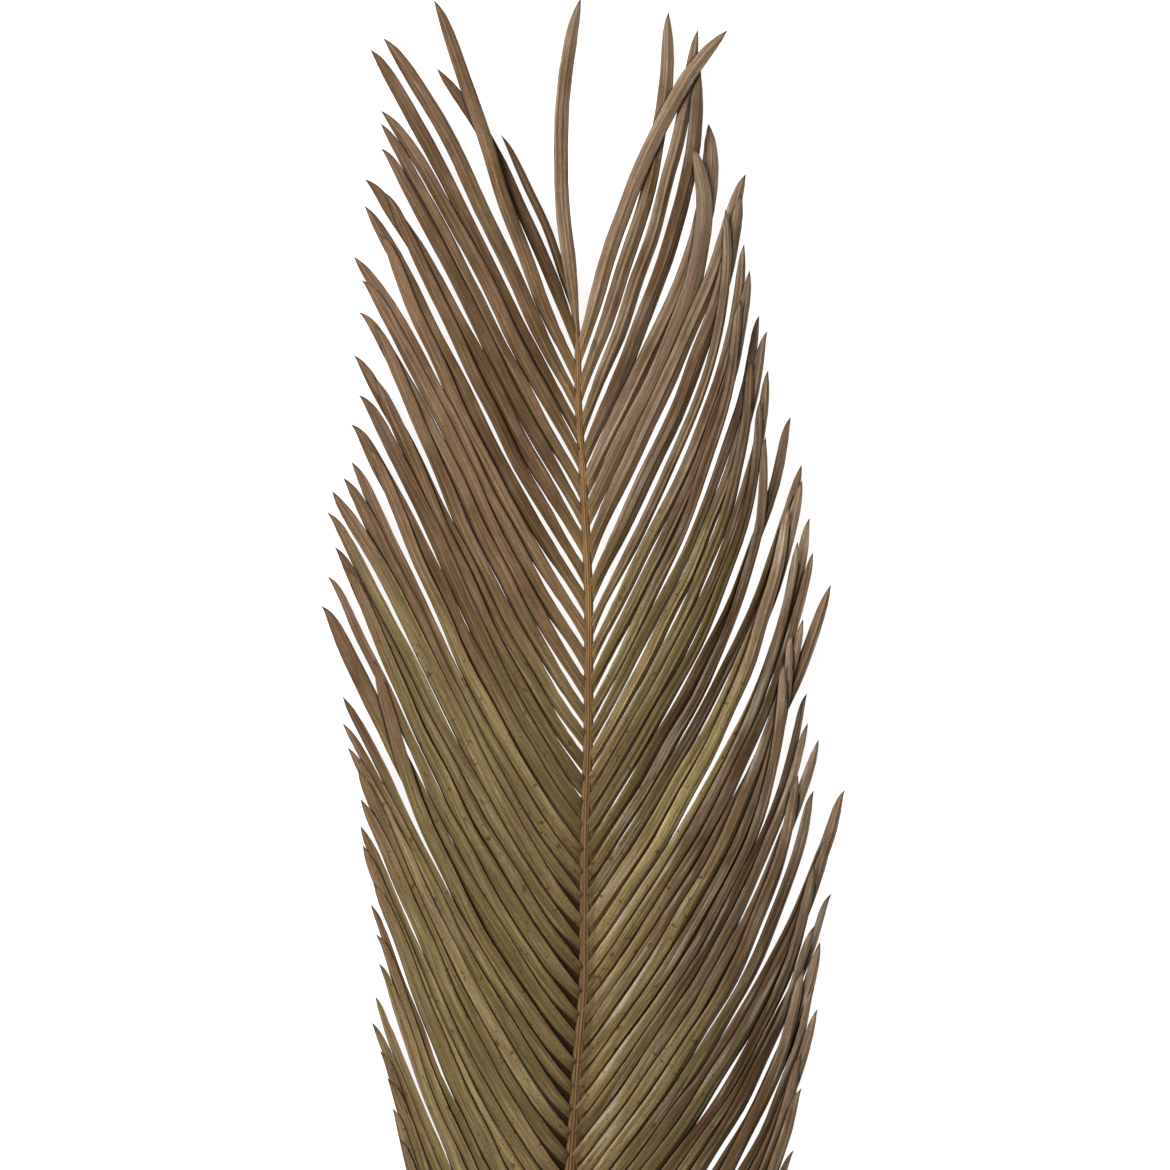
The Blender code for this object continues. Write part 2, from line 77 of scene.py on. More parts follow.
RIGHT_TIPS = (
    (56, 108), (34, 115), (45, 108), (46, 93), (49, 73), (43, 63), (63, 54), (61, 46), (55, 40), (62, 27),
    (64, 17), (61, 6), (68, 1), (71, -5), (65, -16), (71, -20), (68, -31), (80, -37), (70, -45), (84, -55),
    (84, -61), (79, -71), (87, -75), (82, -84), (88, -88), (95, -100), (84, -113), (80, -118), (77, -129),
    (86, -141), (86, -152), (90, -158), (82, -171), (88, -177), (100, -177), (96, -192), (88, -204),
    (95, -216), (88, -227), (90, -233), (84, -243), (88, -250), (89, -258), (83, -274), (83, -287),
    (80, -310), (77, -320),
)
# Wherever the two sides differ, the left one is -1 and the right one 1
TIPS = {-1: LEFT_TIPS, 1: RIGHT_TIPS}
# Where the leaflets leave the rachis, in millimetres below its top
LEFT_FIRST = 1.0
RIGHT_ROOTS = (16, 30, 43, 55, 66, 77, 90, 105, 118, 129, 140)
SPACINGS = ((0, 10.7), (140, 10.7), (144, 8.8), (430, 8.8), (450, 11.0), (536, 11.0))
LAST_LEAFLET = 536
# Small spines on the stalk, below the last leaflets: where they stand, their size and their turn outwards
SPINE_ROOTS = (548, 557, 566, 576)
SPINE_LENGTH, SPINE_THICKNESS, SPINE_ANGLE = 4.5, 1.9, 48.0
# How far out they stand, as a share of the stalk's width, and how far each edge's are moved along it
SPINE_SEAT, SPINE_STAGGER = 0.42, 1.0
# Their rows and columns, the lean of the foot in degrees more, the power of the taper, how much and how
# quickly the foot widens, the radius of the point, and the share sunk in the stalk
SPINE_ROWS, SPINE_COLUMNS = 8, 8
SPINE_CURVE, SPINE_TAPER, SPINE_FOOT, SPINE_FOOT_FADE = 18.0, 1.25, 0.9, 9.0
SPINE_POINT, SPINE_SUNK = 0.04, 0.12

# A blade's full width, by the distance of its root below the top
BLADE_WIDTHS = {
    -1: ((0, 5.4), (140, 5.9), (220, 7.5), (450, 7.4), (536, 5.4)),
    1: ((0, 5.4), (140, 5.6), (230, 6.7), (450, 6.8), (536, 5.4)),
}
# The solid's blades are this thick, and rest on the surface at half of it
SOLID_THICKNESS = 0.7
# A short leaflet is no wider than this much, and this share of its length more
NARROWEST, WIDTH_BY_LENGTH = 1.8, 0.075
# Its width just outside the rachis as a share of that, and inside the rachis as a share of the rachis's
ROOT_SHARES = ((0, 0.62), (130, 0.66), (220, 0.92), (536, 0.90))
ROOT_IN_RACHIS = 0.68
# Its width before the tip's taper as a share of the full width, and how late it narrows to that
OUTER_SHARES = ((0, 0.96), (140, 0.92), (240, 0.76), (536, 0.78))
OUTER_POWER = 1.6
# How high a root sits in the rachis, as a share of the rachis's width
ROOT_HEIGHT = 0.42
# Where a blade reaches its full width, and over what length it widens from its tip: in millimetres, or as a
# share of a short leaflet
WIDENS_UNTIL, TAPER_LENGTH, TAPER_SHARE = 0.24, 7.2, 0.16
# The blades lie like shingles, with the edge that faces the leaf's tip turned up by this angle, more or less
TILT, TILT_SPREAD = 15.0, 4.0
# A leaflet arches up by this share of its length, and comes down to its tip late by this power
ARCH, DROOP_POWER = 0.036, 1.3
# Tips are drawn between these heights, and those under the first one lie on the surface
LYING_TIP, LOW_TIP, HIGH_TIP = 0.35, -2.0, 5.0
# The lowest leaflet's length and angle, and how late the last ones shorten to it
SHORT_LENGTH, SHORT_ANGLE, SHORTENING = 12.0, 38.0, 0.8
# The seed of the draws, and how far root angles, tip turns and widths differ by them
SEED = 7
ANGLE_SPREAD, TURN_SPREAD, WIDTH_SPREAD = 1.0, 3.0, 0.07
# The angle between the rachis and a leaflet's root in degrees, by the distance below the top
ROOT_ANGLES = {
    -1: ((0, 27), (50, 33), (106, 36), (240, 40), (330, 40), (536, 43)),
    1: ((0, 21), (107, 25.5), (160, 29), (250, 35), (330, 38), (536, 43)),
}
# The turn of its tip outwards from the straight line between root and tip, in degrees
TIP_TURNS = {
    -1: ((0, 5), (150, 4), (300, -2), (536, -6)),
    1: ((0, -11), (130, -17), (536, -18)),
}
# A leaflet whose tip is out of line with its neighbours' bends to it in its outer part, by this many times
# the angle, and by so many degrees at most
BEND_TO_TIP, MOST_BEND = 3.0, 22.0
NEIGHBOURS = 3
# Leaflets that differ, by their number from the top: their widths, and their root angles and tip turns
ODD_WIDTHS = {
    -1: {0: 3.2, 1: 5.0, 9: 4.8, 12: 6.2},
    1: {0: 5.9, 1: 5.6, 2: 5.5, 3: 6.4, 4: 7.6, 5: 7.8, 6: 6.8, 7: 6.6, 8: 4.6},
}
ODD_ANGLES = {
    -1: {0: (17, 6), 1: (21, 12), 2: (29, 2)},
    1: {0: (17, 19), 1: (21, -15), 2: (23, -9), 3: (24, -16), 4: (22.5, -26), 5: (23, -36), 6: (23, -8)},
}
# The right side's first leaflet lies over the others
TOP_LAYER = 60
# The leaflet that ends the leaf
END_LEAFLET = {
    "sign": 1, "root": 2.0, "tip": END_TIP, "root_angle": -10, "tip_turn": 15, "width": 5.6,
    "layer": 0.6, "tip_height": 2.0, "tilt": TILT,
}

# Places along a leaflet, from root to tip, where its edges have a height of their own
STATIONS = np.array((0.0, 0.035, 0.25, 0.5, 0.76, 0.93, 1.0))
# How far apart the middle surfaces of leaflets are set where they lie over each other
CLEARANCE = 1.25
# Where overlaps are looked for: from this part of a leaflet on, at so many places, and this far beyond the
# other's edge
FIRST_PLACE, PLACES, BEYOND_EDGE = 0.12, 23, 0.4
WIDEST = 8.0
# How leaflets give way: in so many steps, the share of a gap made up in each, a blade's stiffness along its
# length, how strongly it springs back, and its steepest lean in degrees
SETTLING_STEPS = 500
MADE_UP, STIFFNESS, SPRING_BACK, STEEPEST = 1.4, 0.12, 0.004, 50.0

# The fine blade: rows along it, how much closer they stand at its ends, and its columns from midrib to edge
FEWEST_ROWS, LENGTH_PER_ROW = 16, 6.0
BUNCHING = 0.12
HALF_COLUMNS = (0.0, 0.08, 0.19, 0.32, 0.46, 0.60, 0.74, 0.87, 0.96, 1.0)
COLUMNS = np.array([-v for v in reversed(HALF_COLUMNS[1:])] + list(HALF_COLUMNS))
# The seeds of the fine blades' own draws are counted from this one
FINE_SEED = 1000
# It leans as the solid's does, read over no less than this half width and up to this sine
LEAN_HALF, LEAN_SINE = 0.6, 0.77
# Its thickness at the midrib, the shares of that at its edges and its tip, and how late it thins outwards
FINE_THICKNESS, EDGE_SHARE, TIP_SHARE, EDGE_POWER = 0.34, 0.6, 0.35, 3
# The midrib stands out above and below by these heights, within these half widths
RIB_ABOVE, RIB_BELOW = (0.20, 0.40), (0.30, 0.55)
# The edges roll down by this much, from this share of the half width outwards
ROLL, ROLL_FROM = 0.34, 0.78
# A blade's halves fall from the midrib by slopes between these, on the leaf's left and right, and more
# steeply next to the rachis; a part of the fall is below the flat blade
FOLDS = {-1: (0.09, 0.24), 1: (0.14, 0.34)}
# The fold and the tone, pale or dark, of leaflets that differ, by their tips: the dark tone of the top two
# left leaflets is painted shade, and the pale tone of the sixth one on the right is painted light
ODD_LOOKS = {
    END_TIP: (0.03, 1.1),
    LEFT_TIPS[0]: (0.10, -3.0),
    LEFT_TIPS[1]: (0.12, -3.1),
    RIGHT_TIPS[0]: (0.20, 1.1),
    RIGHT_TIPS[5]: (0.08, 1.6),
}
ROOT_FOLD, ROOT_FOLD_LENGTH = 0.20, 14.0
FOLD_POWER, FOLD_BELOW = 1.15, 0.35
# Lengthwise ridges of the dry blade: their height in millimetres, how many lie in its width, the share of
# the height that changes along it and over what lengths, and how late they fade towards the edges
CREASES = {-1: (0.03, 0.11), 1: (0.10, 0.26)}
CREASE_COUNTS = (2.4, 4.8)
CREASE_CHANGE, CREASE_LENGTHS = 0.3, (25.0, 70.0)
CREASE_POWER = 4
# The points of leaflets longer than this turn towards the stalk: how far the middle line bulges the other
# way, as a slope, and at what distance from the tip
HOOKED_FROM = 40
LEAST_HOOK, MOST_HOOK, HOOK_PLACE = -0.03, 0.17, 6.0
# Slow waves of a blade: sideways, up and down and in its lean, in millimetres and degrees, their lengths, and
# the power by which they fade at its ends
SIDE_WAVE, RISE_WAVE, LEAN_WAVE = 0.40, 0.22, 5.0
WAVE_LENGTHS, WAVE_FADE = (34.0, 78.0), 0.6
# How far an edge strays from its line, as a share of the half width, and over what lengths
STRAY = 0.035
STRAY_LENGTHS = (3.0, 9.0)
# Lower leaflets are this much wider in their inner part, where they shut narrow gaps: from this distance
# below the top on and as far out as this, each with the length of its change
SHUT_GAP = 0.42
SHUT_FROM, SHUT_FROM_CHANGE = 235.0, 40
SHUT_UNTIL, SHUT_UNTIL_CHANGE = 60.0, 30
# Where a blade meets the rachis: how far from it its lower and upper edge take their own line, how deep the
# root line lies in it, and the gap between two roots
LOWER_FLARE, UPPER_FLARE = 13.0, 6.5
ROOT_LINE_DEPTH = 0.30
ROOT_GAP = 0.8
# The thinnest that a tip gets
TIP_HALF = 0.07
# Edges sharper than this angle in degrees aren't smoothed
SHARP_ANGLE = 50

# The distance given to a blade that is far from any that lies over it
FAR_OFF = 20.0
# From this part of its length on, a leaflet casts no painted crevice shade on the one below it
LIFTED_FROM = 0.9
# Leaflets are olive from this distance below the top on, sooner by this share of the distance from the
# rachis, and over this length
OLIVE_FROM = {-1: (128, 0.75, 46), 1: (62, 0.0, 60)}
# They are so out to this distance from the rachis, more by this share of the distance below the top, and
# over this length; the two distances differ by this much between leaflets
OLIVE_UNTIL = {-1: (88, 0.0, 22), 1: (47, 0.05, 26)}
OLIVE_SHIFT = 22
# How far apart two leaflets' streaks lie in the noise, and the depth of bumps in metres
STREAKS_APART = 97.0
BUMP_DEPTH = 0.00035

# The fine rachis: half of its section, as parts of its width, and the length between its rows
FINE_SECTION = (
    (0.15, 0.0), (0.28, 0.0), (0.42, 0.09), (0.485, 0.24), (0.475, 0.42), (0.42, 0.56), (0.34, 0.65),
    (0.26, 0.70), (0.21, 0.715), (0.17, 0.70), (0.14, 0.675), (0.11, 0.70), (0.075, 0.745), (0.03, 0.77),
)
RACHIS_ROW = 2.0
# Swellings of the rachis between the roots of leaflets, as a share of its width, and their length
SWELLING, SWELLING_LENGTH = 0.035, 9.3
# Its start under the end leaflet, as a share of its width, and the length over which it widens
TOP_SHARE, TOP_LENGTH = 0.30, 14.0

# The photograph: its pixels, the leaf's size in it, and the pixel where the rachis's top lies
PHOTO_PIXELS = 1170
MM_PER_PIXEL = 0.375
TOP_PIXEL = (578, 318)
# The camera's lens and sensor in millimetres, and the height in metres where that size holds
LENS, SENSOR = 100.0, 36.0
LEAF_HEIGHT = 0.003
# The floor's half side in metres, its shader's values, and the sky's colour and strength
FLOOR_REACH = 6.0
FLOOR_LOOKS = {
    "Base Color": (0.5, 0.5, 0.5, 1), "Roughness": 0.9,
    "Emission Color": (1, 1, 1, 1), "Emission Strength": 0.86,
}
SKY_COLOUR, SKY_STRENGTH = (1, 0.97, 0.93, 1), 0.27
# The lamps: name, place and side length in metres, and power in watts
LAMPS = (
    ("key", (-1.25, 1.05, 1.5), 0.9, 54.0),
    ("fill", (1.4, -0.6, 1.6), 1.6, 3.5),
)


def smooth_table(table, at):
    """Reads a table of (place, value) pairs on a smooth curve that never goes past its values."""
    places, values = np.array(table, dtype=float).T
    secants = np.diff(values) / np.diff(places)
    before, after = np.append(secants[0], secants), np.append(secants, secants[-1])
    same_way = before * after > 0
    slopes = np.where(same_way, 2 * before * after / np.where(same_way, before + after, 1), 0)
    at = np.clip(np.asarray(at, dtype=float), places[0], places[-1])
    i = np.clip(np.searchsorted(places, at, side="right") - 1, 0, len(places) - 2)
    span = places[i + 1] - places[i]
    s = (at - places[i]) / span
    rise = values[i] * (1 + 2 * s) * (1 - s) ** 2 + values[i + 1] * s * s * (3 - 2 * s)
    lean = slopes[i] * s * (1 - s) ** 2 - slopes[i + 1] * s * s * (1 - s)
    return rise + lean * span


def smooth_step(x):
    """From 0 to 1 as x goes from 0 to 1, level at both ends."""
    x = np.clip(x, 0.0, 1.0)
    return x * x * (3 - 2 * x)


def rachis_point(below):
    """The place across and along, and the width and height of the underside, at a distance below the top."""
    across = smooth_table([(-along, across) for across, along in RACHIS_PATH], below)
    return across, -below, smooth_table(RACHIS_WIDTH, below), smooth_table(RACHIS_LIFT, below)


def root_height(below):
    """The height at which leaflets leave the rachis."""
    _, _, width, lift = rachis_point(below)
    return lift + ROOT_HEIGHT * width


def leaflet_roots():
    """The distances below the top where leaflets leave the rachis, for each side."""
    roots = {-1: [LEFT_FIRST], 1: list(RIGHT_ROOTS)}
    for side in roots.values():
        while side[-1] < LAST_LEAFLET:
            side.append(side[-1] + float(smooth_table(SPACINGS, side[-1])))
    return roots


def leaflet_tip(sign, number, below):
    """The tip of a leaflet: a listed one, or below those one that shortens towards the stalk."""
    tips = TIPS[sign]
    if number < len(tips):
        return tips[number]
    last = {"root": leaflet_roots()[sign][len(tips) - 1], "tip": tips[-1], "sign": sign}
    left_to_go = max((LAST_LEAFLET - below) / (LAST_LEAFLET - last["root"]), 0.0)
    length = SHORT_LENGTH + (length_of(last) - SHORT_LENGTH) * left_to_go ** SHORTENING
    full_angle = straight_angle(last)
    angle = math.radians(full_angle + (SHORT_ANGLE - full_angle) * (1 - left_to_go))
    across, along, _, _ = rachis_point(below)
    return across + sign * length * math.sin(angle), along + length * math.cos(angle)


def chord_of(leaflet):
    """A leaflet's root seen from above, and the straight way from there to its tip."""
    root = np.array(rachis_point(leaflet["root"])[:2])
    return root, np.array(leaflet["tip"]) - root


def length_of(leaflet):
    """The straight length from root to tip."""
    return math.hypot(*chord_of(leaflet)[1])


def straight_angle(leaflet):
    """The angle outwards from the leaf's length to the straight line between a leaflet's root and tip."""
    across, along = chord_of(leaflet)[1]
    return math.degrees(math.atan2(across * leaflet["sign"], along))


def bend_to_tips(row):
    """Keeps one side's leaflets evenly spread in their inner parts, and bends the outer parts to the tips."""
    angles = [straight_angle(leaflet) for leaflet in row]
    for number, leaflet in enumerate(row):
        near = angles[max(number - NEIGHBOURS, 0):number + NEIGHBOURS + 1]
        turn = BEND_TO_TIP * (angles[number] - sum(near) / len(near))
        leaflet["tip_turn"] += min(max(turn, -MOST_BEND), MOST_BEND)


def list_leaflets():
    """Every leaflet's place and proportions, in millimetres and degrees, by one rule with a seeded draw."""
    draw = random.Random(SEED)

    def vary(spread):
        return spread * draw.uniform(-1, 1)

    leaflets = []
    for sign, roots in leaflet_roots().items():
        row = []
        for number, below in enumerate(roots):
            leaflet = {
                "sign": sign,
                "root": below,
                "tip": leaflet_tip(sign, number, below),
                "root_angle": smooth_table(ROOT_ANGLES[sign], below) + vary(ANGLE_SPREAD),
                "tip_turn": smooth_table(TIP_TURNS[sign], below) + vary(TURN_SPREAD),
                "width": smooth_table(BLADE_WIDTHS[sign], below) * (1 + vary(WIDTH_SPREAD)),
                "layer": number + (0.5 if sign > 0 else 0.0),
                "tip_height": max(draw.uniform(LOW_TIP, HIGH_TIP), LYING_TIP),
                "tilt": TILT + vary(TILT_SPREAD),
            }
            row.append(leaflet)
        bend_to_tips(row)
        for number, width in ODD_WIDTHS[sign].items():
            row[number]["width"] = width
        for number, (root_angle, tip_turn) in ODD_ANGLES[sign].items():
            row[number].update(root_angle=root_angle, tip_turn=tip_turn)
        if sign > 0:
            row[0]["layer"] = TOP_LAYER
        leaflets += row
    return leaflets + [END_LEAFLET]


def plan_line(leaflet, t):
    """The middle line of a leaflet seen from above: its points and its directions, root to tip."""
    root, chord = chord_of(leaflet)
    length = np.linalg.norm(chord)
    root_angle = math.radians(leaflet["root_angle"]) * leaflet["sign"]
    tip_angle = math.atan2(chord[0], chord[1]) + math.radians(leaflet["tip_turn"]) * leaflet["sign"]
    root_way = length * np.array((math.sin(root_angle), math.cos(root_angle)))
    tip_way = length * np.array((math.sin(tip_angle), math.cos(tip_angle)))
    t = np.asarray(t, dtype=float)[:, None]
    place = root + chord * t * t * (3 - 2 * t) + root_way * t * (1 - t) ** 2 - tip_way * t * t * (1 - t)
    way = chord * 6 * t * (1 - t) + root_way * (1 - t) * (1 - 3 * t) + tip_way * t * (3 * t - 2)
    return place, way / np.linalg.norm(way, axis=1)[:, None]


def strip_half_width(leaflet, t):
    """Half of a blade's width along it outside the rachis: even, then drawn out to a point."""
    t = np.asarray(t, dtype=float)
    full = min(leaflet["width"], NARROWEST + WIDTH_BY_LENGTH * length_of(leaflet))
    rise = np.clip(t / WIDENS_UNTIL, 0, 1)
    root_share = smooth_table(ROOT_SHARES, leaflet["root"])
    share = root_share + (1 - root_share) * rise * rise * (3 - 2 * rise)
    share = share - (1 - smooth_table(OUTER_SHARES, leaflet["root"])) * t ** OUTER_POWER
    taper = min(TAPER_LENGTH, TAPER_SHARE * length_of(leaflet))
    return full * share * (1 - np.exp(-(1 - t) * length_of(leaflet) / taper)) / 2


def half_width(leaflet, t):
    """Half of a blade's width along it, narrowed inside the rachis."""
    width = 2 * strip_half_width(leaflet, t)
    root = ROOT_IN_RACHIS * rachis_point(leaflet["root"])[2]
    width = np.where(t < STATIONS[1], root + (width - root) * t / STATIONS[1], width)
    return width / 2


def outward(leaflet, way):
    """The direction across the blade towards the edge that faces the leaf's tip."""
    return np.stack((-way[:, 1], way[:, 0]), axis=1) * leaflet["sign"]


def wanted_heights(leaflet):
    """The heights that the two edges of a leaflet would take by themselves: tip side, stalk side."""
    root = root_height(leaflet["root"])
    arch = ARCH * length_of(leaflet) * 4 * STATIONS * (1 - STATIONS)
    middle = root + (leaflet["tip_height"] - root) * STATIONS ** DROOP_POWER + arch
    lean = half_width(leaflet, STATIONS) * math.sin(math.radians(leaflet["tilt"]))
    lean[0] = 0.0
    return middle + lean, middle - lean


def station_weights(t):
    """The station before a place along a leaflet, and how far it is on from there to the next one."""
    i = np.clip(np.searchsorted(STATIONS, t, side="right") - 1, 0, len(STATIONS) - 2)
    return i, (t - STATIONS[i]) / (STATIONS[i + 1] - STATIONS[i])


def boxes_apart(one, other):
    """How far apart the boxes of two groups of points are, seen from above."""
    return np.maximum(one.min(0) - other.max(0), other.min(0) - one.max(0)).max()


def off_line(points, line):
    """Each point against each stretch of a line: how far along it, and the way to the point from there."""
    span = np.diff(line, axis=0)
    to_point = points[:, None] - line[None, :-1]
    s = np.einsum("psk,sk->ps", to_point, span) / np.einsum("sk,sk->s", span, span)
    return s, to_point - np.clip(s, 0, 1)[:, :, None] * span


def find_contacts(leaflets):
    """Every sample point of a leaflet that lies over or under another one, seen from above."""
    t = np.linspace(FIRST_PLACE, 1.0, PLACES)
    shapes = []
    for leaflet in leaflets:
        place, way = plan_line(leaflet, t)
        shapes.append((place, outward(leaflet, way), half_width(leaflet, t)))
    rows = []
    for a, (place_a, side_a, half_a) in enumerate(shapes):
        for b, (place_b, side_b, half_b) in enumerate(shapes):
            if a == b or boxes_apart(place_a, place_b) > WIDEST:
                continue
            for v in (-1.0, 0.0, 1.0):
                s, off = off_line(place_a + side_a * (v * half_a)[:, None], place_b)
                far = np.where((s >= 0) & (s <= 1), np.linalg.norm(off, axis=2), np.inf)
                nearest = far.argmin(1)
                for p in np.nonzero(far.min(1) < WIDEST)[0]:
                    n = nearest[p]
                    lateral = off[p, n] @ side_b[n]
                    half = half_b[n]
                    if abs(lateral) <= half + BEYOND_EDGE:
                        other = t[n] + (t[n + 1] - t[n]) * min(max(s[p, n], 0.0), 1.0)
                        rows.append((a, t[p], v, b, other, min(max(lateral / half, -1.0), 1.0)))
    return np.array(rows)


def settle(leaflets):
    """Heights of the leaflets' two edges at the stations, with those that overlap resting on each other."""
    wanted = np.array([wanted_heights(leaflet) for leaflet in leaflets])
    halves = np.array([half_width(leaflet, STATIONS) for leaflet in leaflets])
    layers = np.array([leaflet["layer"] for leaflet in leaflets])
    rows = find_contacts(leaflets)
    a, b = rows[:, 0].astype(int), rows[:, 3].astype(int)
    upper = np.where(layers[a] > layers[b], 1.0, -1.0)
    parts = []
    for sign, who, t, v in ((1, a, rows[:, 1], rows[:, 2]), (-1, b, rows[:, 4], rows[:, 5])):
        i, s = station_weights(t)
        for edge, share in ((0, (1 + v) / 2), (1, (1 - v) / 2)):
            parts.append(((who, edge, i), sign, share * (1 - s)))
            parts.append(((who, edge, i + 1), sign, share * s))
    heights = wanted.copy()
    most_lean = halves[:, None, :] * math.sin(math.radians(STEEPEST))
    for _ in range(SETTLING_STEPS):
        gap = np.zeros(len(rows))
        for place, sign, weight in parts:
            gap += sign * weight * heights[place]
        push = np.maximum(CLEARANCE - gap * upper, 0.0) * upper / 2
        moved = np.zeros_like(heights)
        total = np.zeros_like(heights)
        for place, sign, weight in parts:
            np.add.at(moved, place, sign * weight * push)
            np.add.at(total, place, weight * (push != 0))
        heights += MADE_UP * moved / np.maximum(total, 1.0)
        bend = heights - wanted
        bend[:, :, 1:-1] += STIFFNESS * (bend[:, :, :-2] + bend[:, :, 2:] - 2 * bend[:, :, 1:-1])
        heights = wanted + bend * (1 - SPRING_BACK)
        middle = heights.mean(axis=1, keepdims=True)
        heights = middle + np.clip(heights - middle, -most_lean, most_lean)
        heights[:, :, 0] = wanted[:, :, 0]
        heights = np.maximum(heights, SOLID_THICKNESS / 2)
    return heights


def to_world(points):
    """From millimetres from the top of the rachis to metres from the origin, for an array of points."""
    return (points + np.array((-CENTRE_ACROSS, CENTRE_ALONG, 0.0))) * MM


def wave(draw, lengths, s):
    """A slow, seeded wave along a length: two sines with drawn lengths and phases."""
    parts = [(draw.uniform(*lengths), draw.uniform(0, 2 * math.pi)) for _ in range(2)]
    return sum(np.sin(2 * math.pi * s / length + phase) for length, phase in parts) / 2


def root_line(leaflet, spacing):
    """Where a leaflet's root meets the rachis: its lowest and its highest point."""
    below = leaflet["root"]
    across, along, width, _ = rachis_point(below)
    ahead = np.array((rachis_point(below - 1)[0] - rachis_point(below + 1)[0], 2.0))
    ahead /= np.linalg.norm(ahead)
    out = np.array((ahead[1], -ahead[0])) * leaflet["sign"]
    angle = math.radians(leaflet["root_angle"])
    half = strip_half_width(leaflet, 0.0)
    reach = (width / 2 * math.cos(angle) + half) / math.sin(angle)
    own_low = half / math.sin(angle) - width / 2 / math.tan(angle)
    gap = ROOT_GAP * (1 - smooth_step((below - SHUT_FROM) / SHUT_FROM_CHANGE))
    low = max(spacing - reach - gap, own_low)
    high = reach - gap
    ends = []
    for distance in (-low, high):
        place = np.array((across, along)) + out * ROOT_LINE_DEPTH * width + ahead * distance
        ends.append(np.append(place, root_height(below - distance)))
    return ends


def olive_share(leaflet, line, draw):
    """How olive a leaflet is along its middle line: its inner part is, more so lower down the leaf."""
    below = -line[:, 1]
    off = np.abs(line[:, 0] - rachis_point(below)[0])
    shift = draw.uniform(-OLIVE_SHIFT, OLIVE_SHIFT)
    first, sooner, change = OLIVE_FROM[leaflet["sign"]]
    start = smooth_step((below - first + sooner * off + shift) / change)
    last, further, change = OLIVE_UNTIL[leaflet["sign"]]
    end = smooth_step((last + shift + further * below - off) / change)
    return start * end


def wavy_line(leaflet, heights, t, draw):
    """Along a fine blade: the distance from its root, its freedom to wave, its side, points and lean."""
    place, way = plan_line(leaflet, t)
    side = outward(leaflet, way)
    s = np.append(0, np.cumsum(np.linalg.norm(np.diff(place, axis=0), axis=1)))
    upper, lower = [smooth_table(list(zip(STATIONS, edge)), t) for edge in heights]
    solid_half = np.maximum(half_width(leaflet, t), LEAN_HALF)
    lean = np.arcsin(np.clip((upper - lower) / 2 / solid_half, -LEAN_SINE, LEAN_SINE))
    middle = (upper + lower) / 2
    free = np.sin(math.pi * t) ** WAVE_FADE
    place = place + side * (SIDE_WAVE * wave(draw, WAVE_LENGTHS, s) * free)[:, None]
    from_tip = (s[-1] - s) / HOOK_PLACE
    hook = draw.uniform(LEAST_HOOK, MOST_HOOK) * HOOK_PLACE * from_tip * np.exp(1 - from_tip)
    place = place + side * (hook * (length_of(leaflet) > HOOKED_FROM))[:, None]
    middle = middle + RISE_WAVE * wave(draw, WAVE_LENGTHS, s) * free
    lean = lean + math.radians(LEAN_WAVE) * wave(draw, WAVE_LENGTHS, s) * free
    return s, free, side, np.column_stack((place, middle)), lean


